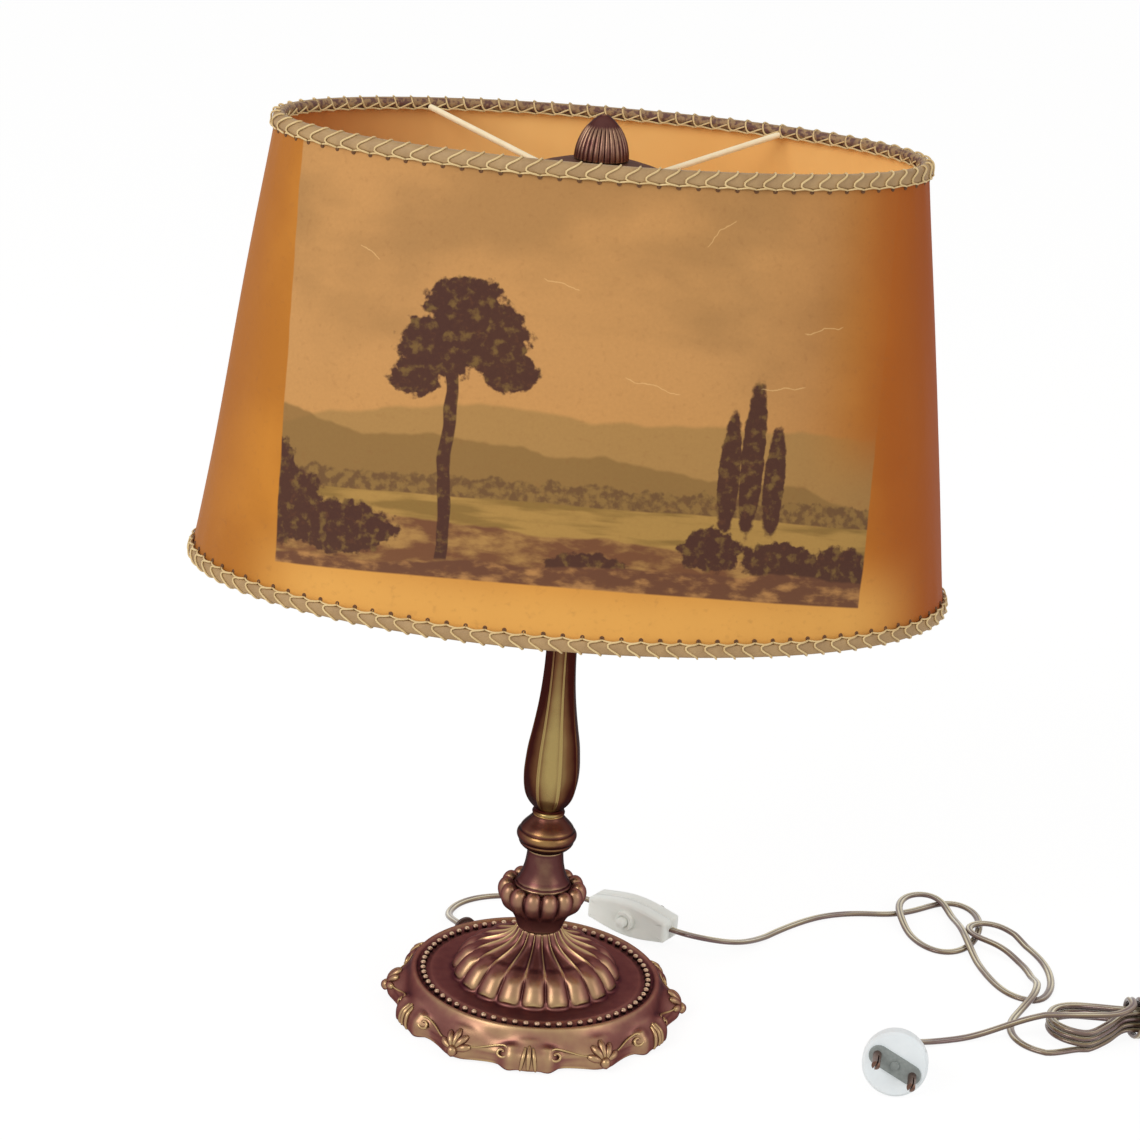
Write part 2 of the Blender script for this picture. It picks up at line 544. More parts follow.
scroll_drop = np.concatenate([TAIL_DROP + (curl_drop[0] - TAIL_DROP) * eased(tail), curl_drop])
scroll_r = np.concatenate([TAIL_THIN + (TAIL_FULL - TAIL_THIN) * tail,
                           np.linspace(TAIL_FULL, CURL_FULL, CURL_STEPS)])
for side in (-1, 1):
    carve(side * scroll_at, scroll_drop, scroll_r, CURL_PROUD)
# Five ribs of the shell spread from a boss at the edge, SHELL_FALL being the millimetres in a drop of 1
SHELL_AT, SHELL_LEAN, SHELL_DROP, SHELL_DEGREE, SHELL_FALL = 30, 34, 0.82, 1.18, 17
SHELL_RIB, SHELL_LESS, SHELL_THIN, SHELL_FAT, SHELL_PROUD = 9.4, 0.5, 0.35, 2.35, 0.05
BOSS_DROP, BOSS_LONG, BOSS_THIN, BOSS_FAT, BOSS_PROUD = 0.72, 0.24, 0.2, 2.5, 0.2
for k in (-2, -1, 0, 1, 2):
    lean, span = math.radians(SHELL_LEAN * k), SHELL_RIB - SHELL_LESS * abs(k)
    carve(SHELL_AT + span * s * math.sin(lean) / SHELL_DEGREE,
          SHELL_DROP - span * s * math.cos(lean) / SHELL_FALL,
          SHELL_THIN + SHELL_FAT * np.sin(np.pi * (0.03 + 0.9 * s)) * (0.25 + 0.75 * s), SHELL_PROUD)
boss_round = np.sqrt(np.clip(1 - (2 * s - 1) ** 2, 0, 1))
carve(SHELL_AT + 0 * s, BOSS_DROP + BOSS_LONG * s, BOSS_THIN + BOSS_FAT * boss_round, BOSS_PROUD)
sector = piece("foot_ornament", ornament_verts, ornament_faces, "lamp")


# Patinated cast brass: metal under a purplish brown skin, with a sandy cast texture, and gold
# where hands have rubbed it.
MOTTLE_MM, MOTTLE_SHARE, CAST_MM, CAST_DEEP, SKIN_DULL, RUBBED_SHINE = 6, 0.14, 0.5, 0.2, 0.14, 0.06


def here(tree):
    """The point in the piece's own frame."""
    return add(tree, "ShaderNodeTexCoord").outputs["Object"]


def roughened(tree, height, strength, deep_mm):
    """A surface raised by a pattern, to a depth in millimetres."""
    return add(tree, "ShaderNodeBump",
               {"Strength": strength, "Distance": deep_mm * MM, "Height": height}).outputs[0]


def rubbed_brass(name, dark, middle, gold, low, high, rough, metal=0.8):
    """Brass that goes from dark to gold as its worn value and its mottles go from low to high."""
    material, tree, shader = finish_of(name)
    place = here(tree)
    worn = add(tree, "ShaderNodeAttribute", {"attribute_name": "worn"}).outputs["Fac"]
    rubbed = maths(tree, "MULTIPLY_ADD", noise(tree, place, MOTTLE_MM, 4.0), MOTTLE_SHARE, worn)
    patina = ramp(tree, rubbed, [(low, dark), (low * 0.55 + high * 0.45, middle), (high, gold)])
    feed(tree, shader, {
        "Base Color": patina, "Metallic": metal, "Specular Tint": ink("#8C5C58"),
        "Roughness": ranged(tree, rubbed, low, high, rough + SKIN_DULL, rough - RUBBED_SHINE),
        "Normal": roughened(tree, noise(tree, place, CAST_MM, 2.0), 0.12, CAST_DEEP)})
    return material


dark_brass = rubbed_brass("patinated_cast_brass", "#50262E", "#82564E", "#B69A6E", 0.48, 0.97, 0.34)
worn_places(foot.data, 1.8, 0.42, 9)
foot.data.materials.append(dark_brass)


def grown(obj, inputs, rule, material):
    """Runs a Geometry Nodes rule on an object with named inputs, and leaves its plain mesh."""
    tree = bpy.data.node_groups.new(obj.name, "GeometryNodeTree")
    tree.interface.new_socket("Geometry", in_out="INPUT", socket_type="NodeSocketGeometry")
    sockets = {key: tree.interface.new_socket(key, in_out="INPUT", socket_type="NodeSocket" + kind)
               for key, (kind, _) in inputs.items()}
    tree.interface.new_socket("Geometry", in_out="OUTPUT", socket_type="NodeSocketGeometry")
    made = rule(tree, add(tree, "NodeGroupInput").outputs)
    real = add(tree, "GeometryNodeRealizeInstances", {0: made.outputs[0]})
    dressed = add(tree, "GeometryNodeSetMaterial", {0: real.outputs[0], "Material": material})
    add(tree, "NodeGroupOutput", {0: dressed.outputs[0]})
    modifier = obj.modifiers.new(obj.name, "NODES")
    modifier.node_group = tree
    for key, (_, value) in inputs.items():
        modifier[sockets[key].identifier] = value
    mesh = bpy.data.meshes.new_from_object(obj.evaluated_get(bpy.context.evaluated_depsgraph_get()))
    obj.modifiers.remove(modifier)
    obj.data = mesh


def turned_copies(tree, given):
    """Copies of a piece turned evenly round the Z axis."""
    line = add(tree, "GeometryNodeMeshLine", {"Count": given["Count"], "Offset": (0, 0, 0)})
    index = add(tree, "GeometryNodeInputIndex").outputs[0]
    angle = maths(tree, "MULTIPLY", maths(tree, "DIVIDE", index, given["Count"]), 2 * math.pi)
    spin = add(tree, "ShaderNodeCombineXYZ", {2: angle})
    return add(tree, "GeometryNodeInstanceOnPoints",
               {"Points": line.outputs[0], "Instance": given["Geometry"], "Rotation": spin.outputs[0]})


grown(sector, {"Count": ("Int", SHELLS)}, turned_copies, dark_brass)
worn_places(sector.data, 1.3, 0.4)

BEADS, BEAD_RING_R, BEAD_R, BEAD_Z, BEAD_FLAT = 66, 55.0, 1.55, 18.1, 0.95
RUBBED_FROM, RUBBED_OVER, RUBBED_MOST = 17.6, 2.0, 0.8
bead_mesh = bmesh.new()
bmesh.ops.create_icosphere(bead_mesh, subdivisions=2, radius=BEAD_R)
bead_verts = [(v.co.x + BEAD_RING_R, v.co.y, v.co.z * BEAD_FLAT + BEAD_Z) for v in bead_mesh.verts]
bead_faces = [tuple(v.index for v in f.verts) for f in bead_mesh.faces]
bead_mesh.free()
beads = piece("foot_beads", bead_verts, bead_faces, "lamp")
bead_brass = rubbed_brass("rubbed_bead_brass", "#3A2026", "#947260", "#EBD2B0", 0.26, 0.86, 0.34)
grown(beads, {"Count": ("Int", BEADS)}, turned_copies, bead_brass)
bead_up = read(beads.data.vertices, "co", 3)[:, 2] / MM
store(beads.data, "worn", np.clip((bead_up - RUBBED_FROM) / RUBBED_OVER, 0, 1) * RUBBED_MOST)


# Cup: a cast brass cup of round lobes, with the foot's patina. It stands on the dome, slips over
# the tube and holds the neck in its dish.
def lathed(line, sides):
    """Points and faces of a line turned about Z: closed at its ends on the axis, else to a ring."""
    theta = np.arange(sides) * 2 * np.pi / sides
    solid = line[0, 0] < 0.1
    faces = tube_faces(len(line), sides) if solid else grid_faces(len(line), sides, True)
    return round_axis(*line.T[..., None], theta).reshape(-1, 3), faces


def raised_lobes(tree, given):
    """Lobes, or flutes where Height is below 0, raised along the normals."""
    spot = add(tree, "GeometryNodeInputPosition").outputs[0]
    x, y, _ = add(tree, "ShaderNodeSeparateXYZ", {0: spot}).outputs
    turn = maths(tree, "DIVIDE", maths(tree, "ARCTAN2", y, x), 2 * math.pi)
    count = maths(tree, "MULTIPLY_ADD", turn, given["Lobes"], given["Start"])
    across = maths(tree, "MULTIPLY_ADD", maths(tree, "FRACT", count), 2.0, -1.0)
    fallen = maths(tree, "MULTIPLY", maths(tree, "MULTIPLY", across, across), given["Roundness"])
    left = add(tree, "ShaderNodeMath", {"operation": "SUBTRACT", "use_clamp": True, 0: 1.0, 1: fallen})
    arch = maths(tree, "MULTIPLY", maths(tree, "SQRT", left.outputs[0]), given["Height"])
    weight = add(tree, "GeometryNodeInputNamedAttribute", {"data_type": "FLOAT", "Name": "swell"})
    lift = maths(tree, "MULTIPLY", maths(tree, "SUBTRACT", arch, given["Sink"]), weight.outputs[0])
    normal = add(tree, "GeometryNodeInputNormal").outputs[0]
    move = add(tree, "ShaderNodeVectorMath", {"operation": "SCALE", 0: normal, "Scale": lift})
    return add(tree, "GeometryNodeSetPosition", {"Geometry": given["Geometry"], "Offset": move.outputs[0]})


def lobed(name, line, weights, lobes, fineness, rule, body, node, material, reach_mm, handled):
    """A turned piece with lobes; rule gives their height, roundness and sink and where they start."""
    verts, faces = lathed(line, lobes * fineness)
    obj = piece(name, verts, faces, body)
    store(obj.data, "swell", np.repeat(weights, lobes * fineness))
    height, roundness, sink, start = rule
    named = {"Lobes": lobes, "Height": height * MM, "Roundness": roundness, "Sink": sink * MM,
             "Start": start}
    grown(obj, {key: ("Float", float(value)) for key, value in named.items()}, raised_lobes, material)
    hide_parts(node)
    worn_places(obj.data, reach_mm, handled)
    return obj


CUP_LOBES, CUP_LOBE_BAND, CUP_LOBES_FROM, CUP_FINE = 14, (57.5, 65.8, 6), 15.2, 2.2
CUP_LOBE_FINE, CUP_LOBE_RULE = 26, (4.2, 0.97, 2.6, 0.5)
cup_line = drawn_curve([
    (5.5, 43.52), (10.4, 43.52), (11, 44), (11.3, 45.2), (12.2, 47.6), (14, 50.8), (16.4, 54),
    (18.6, 57.4), (19.8, 60.6), (19.8, 63.2), (18.7, 65.3), (17.2, 66), (15.9, 65.2), (15, 64.2),
    (13.8, 64.06), (5.5, 64.06)],
    CUP_FINE)
cup_weight = bump(cup_line[:, 1], *CUP_LOBE_BAND) * (cup_line[:, 0] > CUP_LOBES_FROM)
lobed("lobed_cup", cup_line, cup_weight, CUP_LOBES, CUP_LOBE_FINE, CUP_LOBE_RULE, "lamp",
      "gadroon_cup", dark_brass, 1.1, 0.34)


# Neck and knop: brass turned on a lathe, a bell-shaped neck and a knop with a ring. Both slip
# over the threaded tube that holds the stem together.
TURNED_FINE, TURNED_SIDES, TURNED_REACH, TURNED_HANDLED = 2.5, 96, 1.8, 0.34


def turned(name, points, node, material, body="lamp"):
    """A lathe-turned piece from its outline."""
    verts, faces = lathed(drawn_curve(points, TURNED_FINE), TURNED_SIDES)
    obj = piece(name, verts, faces, body)
    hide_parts(node)
    worn_places(obj.data, TURNED_REACH, TURNED_HANDLED)
    obj.data.materials.append(material)


turned("bell_neck_skin", [
    (5.3, 64.1), (13, 64.1), (13.6, 64.5), (13.8, 65.4), (13.6, 66.4), (13, 67), (12.9, 67.8),
    (11.7, 69.8), (10.4, 73), (9.5, 76.4), (9, 79.8), (8.75, 83), (8.75, 84.4), (5.3, 84.4)], "bell_neck",
       rubbed_brass("patinated_turned_brass", "#3A1A1E", "#5C3836", "#A08462", 0.46, 1.05, 0.28))
turned("knop_skin", [
    (5.3, 84.5), (8.9, 84.5), (9.6, 84.7), (11, 85.6), (12.4, 86.9), (13.2, 88.2), (13.3, 88.9),
    (13.2, 89.3), (13.9, 90.1), (14.4, 91.4), (14.4, 92.6), (13.9, 93.8), (13.1, 94.6), (13, 95),
    (12.7, 95.8), (11.5, 97.4), (9.8, 99.2), (8.3, 100.9), (7.5, 102.2), (7.4, 103), (5.3, 103)], "knop",
       rubbed_brass("knop_brass", "#2E1416", "#5E3A30", "#B28E54", 0.5, 1.02, 0.26))

# Column: a cast and chased brass baluster with wide shallow panels between narrow fillets. It is
# gold along its front and back and dark towards both ends.
FLUTES, FLUTED_BAND, FULL_DEPTH_R, LEAST_DEPTH = 8, (110, 194, 4), 12.5, 0.55
COLUMN_FINE, FLUTE_FINE, FLUTE_RULE = 3.2, 30, (-0.75, 1.3, -0.3, 0.62)
# How much darker the ends are, and the heights where that starts and is full
FRONT_RUB, FRONT_NARROW, DARK_ENDS = 0.9, 4, ((0.5, 145, 190), (0.3, 124, 110))
column_line = drawn_curve([
    (5.6, 103.05), (7.6, 103.05), (7.9, 103.7), (7.6, 104.5), (6.9, 105.1), (7, 105.9), (8.2, 107.2),
    (10.2, 110), (11.9, 113.5), (13, 118.5), (13.4, 125), (13.1, 131), (12.4, 138), (11.2, 145),
    (9.9, 153), (8.7, 162), (7.9, 171), (7.4, 181), (7.3, 191), (7.5, 198), (7.6, 199.95),
    (5.6, 199.95)], COLUMN_FINE)
flute_depth = np.clip(column_line[:, 0] / FULL_DEPTH_R, LEAST_DEPTH, 1)
column_weight = bump(column_line[:, 1], *FLUTED_BAND) * flute_depth
column_brass = rubbed_brass("olive_gold_brass", "#3A150F", "#6C4A30", "#A28C58", 0.2, 1.0, 0.3)
column = lobed("fluted_column", column_line, column_weight, FLUTES, FLUTE_FINE, FLUTE_RULE, "lamp",
               "vase_column", column_brass, 3.6, 0)
x, y, z = read(column.data.vertices, "co", 3).T
column_rubbed = FRONT_RUB * ((y / np.hypot(x, y)) ** FRONT_NARROW - 0.5)
for share, start, end in DARK_ENDS:
    column_rubbed -= share * np.clip((z / MM - start) / (end - start), 0, 1)
store(column.data, "worn", read(column.data.attributes["worn"].data, "value") + column_rubbed)


# Inside the shade: a turned cap over the column, the threaded tube with its nuts, a two-light
# cluster with its arms, and the collar that carries the shade. Plain brass from the lathe.
def speckled(name, first, second, size_mm, detail, rough, metal=0.0):
    """A material of two tones that drift into each other; also its tree, shader, drift and colour."""
    material, tree, shader = finish_of(name)
    drift = noise(tree, here(tree), size_mm, detail)
    tone = blend(tree, first, second, drift)
    feed(tree, shader, {"Base Color": tone, "Roughness": rough, "Metallic": metal})
    return material, tree, shader, drift, tone


def dress(material, *names):
    """Gives CAD nodes a finished material."""
    for name in names:
        mesh = nodes[name].data
        mesh.materials.clear()
        mesh.materials.append(material)


TOOL_MM, WAVES_PER_SCALE = 0.8, 20
turned_brass, tree, shader, _, _ = speckled("plain_turned_brass", "#B89A56", "#7E6434", 9, 3.0, 0.32, 1.0)
tool_marks = add(tree, "ShaderNodeTexWave", {
    "bands_direction": "Z", 0: here(tree), "Scale": 1 / (WAVES_PER_SCALE * TOOL_MM * MM),
    "Distortion": 0.4})
feed(tree, shader, {"Normal": roughened(tree, tool_marks.outputs["Fac"], 0.15, 0.1)})
dress(turned_brass, "base_nut", "stem_tube", "column_cap", "cluster_body", "tube_lock_nut", "cluster_arms",
      "holder_cups", "socket_shells", "center_contacts", "shade_seat", "switch_contacts")

# Lampholders and bulbs: cream phenolic sleeves with brass screw shells, and opal candle bulbs
# in nickel-plated caps. Plated steel is used for the washer, springs and screws too.
dress(speckled("cream_phenolic", "#EAE3D0", "#D8CDB2", 14, 5.0, 0.42)[0], "lampholders")
opal_glass, tree, shader, _, _ = speckled("opal_blown_glass", "#F5F1E6", "#E8E2D2", 20, 2.0, 0.16)
feed(tree, shader, {"IOR": 1.5})
dress(opal_glass, "bulb_left_glass", "bulb_right_glass")
dress(speckled("nickel_plated_steel", "#C9C7C0", "#8F8D86", 4, 3.0, 0.3, 1.0)[0], "bulb_left_cap",
      "bulb_right_cap", "base_washer", "button_spring", "switch_screws")

# Under the foot: green felt glued on, and a brown rubber bush where the flex comes out. Inside,
# the flex goes on to the tube.
green_felt, tree, shader, fibres, _ = speckled("green_wool_felt", "#2F3D2C", "#566650", 0.7, 6.0, 0.95)
feed(tree, shader, {"Normal": roughened(tree, fibres, 0.5, 0.3)})
dress(green_felt, "felt_pad")
dress(speckled("brown_moulded_rubber", "#3A2622", "#5E463E", 3, 4.0, 0.7)[0], "cord_bush")
dress(gold_pvc, "inner_flex")

# Shade: a sheet of varnished parchment bent to an oval and lapped on the right, slightly wavy,
# with a printed landscape pasted on the front. Wire rings in the two edges hold its shape.
SHADE_Z, SHADE_H, SKIN_T = 224.0, 205.0, 0.8
BOTTOM_A, BOTTOM_B, TOP_A, TOP_B = 175.0, 102.0, 145.0, 73.0
SKIN_COLUMNS, SKIN_ROWS, LAP_AT, LAP_COLUMNS, LAP_T = 300, 60, 205, 6, 0.7
# Height of each slow wave, waves round the oval, phase, drift up the sheet; then the puckers
WAVES, WAVE_MAX = ((0.9, 3, 1.2, 2), (0.6, 7, 0, -3), (0.3, 17, 0, 5)), 1.2
PUCKER, PUCKERS, PUCKER_FADE, OVAL_STEPS = 0.28, 48, 14, 4001


def oval_at(angle, z, out=0.0):
    """A point of the shade's surface at an angle round the oval and a height, moved outward."""
    h = (z - SHADE_Z) / SHADE_H
    a, b = BOTTOM_A + (TOP_A - BOTTOM_A) * h, BOTTOM_B + (TOP_B - BOTTOM_B) * h
    nx, ny = np.cos(angle) / a, np.sin(angle) / b
    size = np.hypot(nx, ny)
    x, y = a * np.cos(angle) + out * nx / size, b * np.sin(angle) + out * ny / size
    return np.stack(np.broadcast_arrays(x, y, z), axis=-1)


def even_angles(z, count):
    """Angles that divide the oval at a height into equal lengths, from the front centre."""
    fine = np.linspace(-np.pi / 2, 1.5 * np.pi, OVAL_STEPS)
    run = run_along(oval_at(fine, z))
    return np.interp(np.arange(count) / count * run[-1], run, fine), run[-1]


skin_angle, skin_round = even_angles(SHADE_Z + SHADE_H / 2, SKIN_COLUMNS)
skin_h = np.linspace(0, 1, SKIN_ROWS)[:, None]
wave = np.sin(np.pi * skin_h) * sum(h * np.sin(n * skin_angle + phase + drift * skin_h)
                                    for h, n, phase, drift in WAVES)
pucker = np.exp(-skin_h * PUCKER_FADE) + np.exp((skin_h - 1) * PUCKER_FADE)
swell = np.clip(wave + PUCKER * np.sin(PUCKERS * skin_angle) * pucker, -WAVE_MAX, WAVE_MAX)
arc = np.arange(SKIN_COLUMNS) / SKIN_COLUMNS * skin_round
from_lap = np.arange(SKIN_COLUMNS) - np.searchsorted(arc, LAP_AT)
lap = LAP_T * ((from_lap >= 0) & (from_lap < LAP_COLUMNS))
outer = oval_at(skin_angle, SHADE_Z + SHADE_H * skin_h, swell + lap)
inner = oval_at(skin_angle, SHADE_Z + SHADE_H * skin_h, swell - SKIN_T)
arc = np.where(arc > skin_round / 2, arc - skin_round, arc)
SLOPE_LEN = SHADE_H * 1.011
skin_uv = np.stack(np.broadcast_arrays(arc, skin_h * SLOPE_LEN), axis=-1)
shade = piece("parchment_shade", np.concatenate([outer, inner[::-1]]).reshape(-1, 3),
              grid_faces(2 * SKIN_ROWS, SKIN_COLUMNS, True), "shade",
              np.concatenate([skin_uv, skin_uv[::-1]]).reshape(-1, 2))
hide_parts("shade_skin")
# Faces across the back, where the sheet's width starts again, take its far side throughout
uv_layer = shade.data.uv_layers["surface"].data
for polygon in shade.data.polygons:
    corners = [uv_layer[k].uv for k in polygon.loop_indices]
    if max(c[0] for c in corners) - min(c[0] for c in corners) > skin_round / 2 * MM:
        for c in corners:
            if c[0] < 0:
                c[0] += skin_round * MM

# Varnished parchment with a sepia print: amber sheet, darker at the sides, a tinted panel in
# front with sky, hills, trees, a river and a dark meadow, and pale cracks where it has creased.
parchment, sheet_tree, shader = finish_of("printed_varnished_parchment")
sheet_x, sheet_y = add(sheet_tree, "ShaderNodeSeparateXYZ", {0: surface_of(sheet_tree)}).outputs[:2]
calc = functools.partial(maths, sheet_tree)

# The print was a flat rectangle, so its sides close in and its lower edge rises on the cone.
CONE_R, SAG, MIDDLE = 0.92, 0.62, 0.1035
print_x = calc("MULTIPLY", sheet_x, calc("MULTIPLY_ADD", sheet_y, -1 / CONE_R, 1 + MIDDLE / CONE_R))
print_y = calc("MULTIPLY_ADD", calc("MULTIPLY", sheet_x, sheet_x), SAG, sheet_y)
ON_SHEET, ON_PRINT = (sheet_x, sheet_y), (print_x, print_y)


def times(*shares):
    """The product of outputs and plain numbers."""
    return functools.reduce(functools.partial(calc, "MULTIPLY"), shares)


def most(*shares):
    """The largest of outputs."""
    return functools.reduce(functools.partial(calc, "MAXIMUM"), shares)


def cloud(size_mm, detail=3.0, seed=0.0, stretch=1.0, at=ON_PRINT):
    """Noise over the print or the sheet, with its own seed and its width against its height."""
    wide = calc("DIVIDE", at[0], stretch)
    spread = add(sheet_tree, "ShaderNodeCombineXYZ", {0: wide, 1: at[1], 2: seed})
    return noise(sheet_tree, spread.outputs[0], size_mm, detail)


def step_up(value, low, high):
    """0 below low and 1 above high, eased between."""
    return ranged(sheet_tree, value, low, high, kind="SMOOTHSTEP")


def beyond(axis, low_mm, high_mm):
    """The same for a place on the sheet, in millimetres."""
    return step_up(axis, low_mm * MM, high_mm * MM)


def lay(under, colour, *shares):
    """A colour, hex or output, laid over another by the product of shares."""
    return blend(sheet_tree, under, colour, times(*shares))


def below(line_mm, bend_mm, size_mm, seed, soft_mm=1.0, tilt=0.0):
    """1 under an uneven line across the print."""
    along = add(sheet_tree, "ShaderNodeCombineXYZ", {0: print_x, 1: seed}).outputs[0]
    bend = add(sheet_tree, "ShaderNodeTexNoise", {
        "noise_dimensions": "2D", 0: along, "Scale": 1 / (size_mm * MM), "Detail": 4.0}).outputs["Fac"]
    line = calc("MULTIPLY_ADD", bend, 2 * bend_mm * MM, (line_mm - bend_mm) * MM)
    line = calc("MULTIPLY_ADD", print_x, tilt, line)
    return beyond(calc("SUBTRACT", line, print_y), -soft_mm, soft_mm)


LEAF_EDGE = 1.08, 0.92
leaf_noise = cloud(5, 6.0, 2.0, at=ON_SHEET)


def crown(x_mm, y_mm, wide_mm, tall_mm, ragged=0.9):
    """A leafy round mass, ragged at its edge."""
    dx = calc("MULTIPLY_ADD", print_x, 1 / (wide_mm * MM), -x_mm / wide_mm)
    dy = calc("MULTIPLY_ADD", print_y, 1 / (tall_mm * MM), -y_mm / tall_mm)
    far = calc("SQRT", calc("MULTIPLY_ADD", dx, dx, calc("MULTIPLY", dy, dy)))
    far = calc("MULTIPLY_ADD", leaf_noise, ragged, calc("SUBTRACT", far, ragged * 0.5))
    return step_up(far, *LEAF_EDGE)


def mottled(first, second, low, high, *pattern):
    """Two tones that take turns where a cloud goes from low to high."""
    return blend(sheet_tree, first, second, step_up(cloud(*pattern), low, high))


blotch, grain = cloud(60, 5.0, at=ON_SHEET), cloud(3, 5.0, 1.0, at=ON_SHEET)
sheet = blend(sheet_tree, "#C4802F", "#B27027", step_up(blotch, 0.35, 0.65))
to_back = beyond(sheet_x, 370, 230)
low_light = times(beyond(sheet_y, 45, 12), beyond(sheet_x, -150, -100), beyond(sheet_x, 170, 120))
for colour, *shares in (
        ("#A0602A", beyond(calc("ABSOLUTE", sheet_x), 120, 190), 0.8),
        ("#A04C16", beyond(sheet_x, 105, 150), to_back, 0.7),
        ("#94420F", beyond(sheet_x, 150, 200), to_back, 0.8), ("#E0A656", low_light, 0.8)):
    sheet = lay(sheet, colour, *shares)

# The panel, from its sky down to the meadow. Crowns and bushes are x, y, width and height in mm.
TRUNK_X, TRUNK_BEND, SLIM = 0.0525, 0.008, 0.5
oak = [(-62, 128, 19, 15), (-42, 133, 18, 16), (-53, 146, 17, 13), (-72, 115, 12, 9), (-31, 118, 12, 9)]
poplars = [(67, 82, 5, 27, SLIM), (77, 90, 5.5, 34, SLIM), (88, 80, 5, 25, SLIM)]
bushes = [(62, 48, 14, 10), (96, 45, 20, 9), (124, 42, 16, 12), (-104, 46, 26, 12), (-132, 54, 20, 18),
          (-140, 70, 12, 14), (8, 36, 18, 7)]
from_trunk = calc("MULTIPLY_ADD", cloud(30, 2.0, 31.0), TRUNK_BEND, TRUNK_X)
from_trunk = calc("ABSOLUTE", calc("ADD", print_x, from_trunk))
trunk = times(beyond(from_trunk, 3.4, 2.6), beyond(print_y, 34, 36), beyond(print_y, 128, 122))
smoke = step_up(cloud(48, 5.0, 4.0, 1.8), 0.42, 0.66)
engraved = calc("MULTIPLY_ADD", cloud(1.6, 4.0, 41.0), 0.5, -0.1)
picture = blend(sheet_tree, "#C49158", "#AC804E", times(smoke, beyond(print_y, 70, 150)))
for colour, *shares in (
        ("#C69256", beyond(print_y, 130, 90), 0.8), ("#9A5F2C", beyond(print_x, 60, 150), 0.75),
        ("#9C7B48", below(101, 15, 95, 3.0, 1.2, 0.07), 0.75),
        ("#82653A", below(84, 11, 60, 9.0, 0.9, -0.09), 0.8),
        (mottled("#5C4430", "#86693C", 0.4, 0.62, 4, 3.0, 7.0), below(72, 5, 9, 5.0, 0.7), 0.85),
        (mottled("#A98548", "#866A38", 0.45, 0.62, 7, 3.0, 11.0, 7.0), below(63, 1.4, 70, 6.0, 0.5)),
        (mottled("#6C4632", "#A8804A", 0.42, 0.64, 8, 6.0, 14.0, 2.2), below(49, 8, 80, 12.0, 0.8, -0.05)),
        (mottled("#3A2426", "#6E5632", 0.5, 0.7, 5, 5.0, 21.0),
         most(trunk, *(crown(*leafy) for leafy in oak + poplars + bushes))),
        (mottled("#5E3C30", "#AE7E4C", 0.46, 0.7, 6, 6.0, 24.0, 2.0), below(36, 6, 55, 17.0, 0.8, 0.03)),
        ("#6A4630", engraved, 0.4)):
    picture = lay(picture, colour, *shares)
print_edge = calc("MULTIPLY_ADD", cloud(25, 2.0, 33.0), 2 * MM, calc("ABSOLUTE", print_x))
panel = times(beyond(print_edge, 138.5, 137.5), beyond(print_y, 26.5, 27.5))
faded = times(beyond(print_x, 95, 138), beyond(print_y, 75, 115))
sheet = lay(sheet, picture, panel, calc("MULTIPLY_ADD", faded, -0.85, 0.94))
sheet = lay(sheet, "#8A5A34", step_up(grain, 0.55, 0.8), 0.2)
TOOTH_SLOPE, WANDER, CRACK_EDGE, CRACK_FULL = 0.2, 0.8, (0.34, 0.14), 0.42


def crease(x_mm, y_mm, turn, long_mm, tooth_mm):
    """A short pale zigzag crack."""
    c, d = math.cos(math.radians(turn)), math.sin(math.radians(turn))
    dx = calc("MULTIPLY_ADD", print_x, c, calc("MULTIPLY_ADD", print_y, d, -(x_mm * c + y_mm * d) * MM))
    dy = calc("MULTIPLY_ADD", print_x, -d, calc("MULTIPLY_ADD", print_y, c, (x_mm * d - y_mm * c) * MM))
    zigzag = calc("MULTIPLY_ADD", calc("PINGPONG", dx, tooth_mm * MM), TOOTH_SLOPE, dy)
    zigzag = calc("MULTIPLY_ADD", grain, 2 * WANDER * MM, calc("SUBTRACT", zigzag, WANDER * MM))
    return times(beyond(calc("ABSOLUTE", zigzag), *CRACK_EDGE),
                 beyond(calc("ABSOLUTE", dx), long_mm * 0.5, long_mm * CRACK_FULL))


cracks = most(crease(-12, 158, -14, 17, 6), crease(88, 122, 8, 22, 5), crease(104, 150, 16, 20, 7),
              crease(30, 118, -12, 26, 8), crease(-96, 168, -32, 12, 5), crease(52, 186, 48, 18, 8))
feed(sheet_tree, shader, {
    "Base Color": lay(sheet, "#E8BE80", cracks, 0.4), "Roughness": 0.6, "Specular IOR Level": 0.1,
    "Normal": roughened(sheet_tree, calc("MULTIPLY_ADD", grain, 0.3, blotch), 0.25, 1.2)})

# The inner side of the sheet is plain: amber, and browned at its left end.
lining, tree, shader, _, amber = speckled("plain_parchment_back", "#FFD084", "#F6B866", 55, 5.0, 0.62)
inner_x = add(tree, "ShaderNodeSeparateXYZ", {0: surface_of(tree)}).outputs[0]
left_end = ranged(tree, inner_x, -360 * MM, -220 * MM, 0, 0.85)
browned = maths(tree, "MULTIPLY", left_end, ranged(tree, inner_x, -50 * MM, -100 * MM))
feed(tree, shader, {"Base Color": blend(tree, amber, "#AC5010", browned), "Specular IOR Level": 0.2})
shade.data.materials.append(parchment)
shade.data.materials.append(lining)
row_of_face = np.arange(len(shade.data.polygons)) // SKIN_COLUMNS
inner_face = (row_of_face >= SKIN_ROWS) & (row_of_face < 2 * SKIN_ROWS - 1)
shade.data.polygons.foreach_set("material_index", inner_face.astype(int))

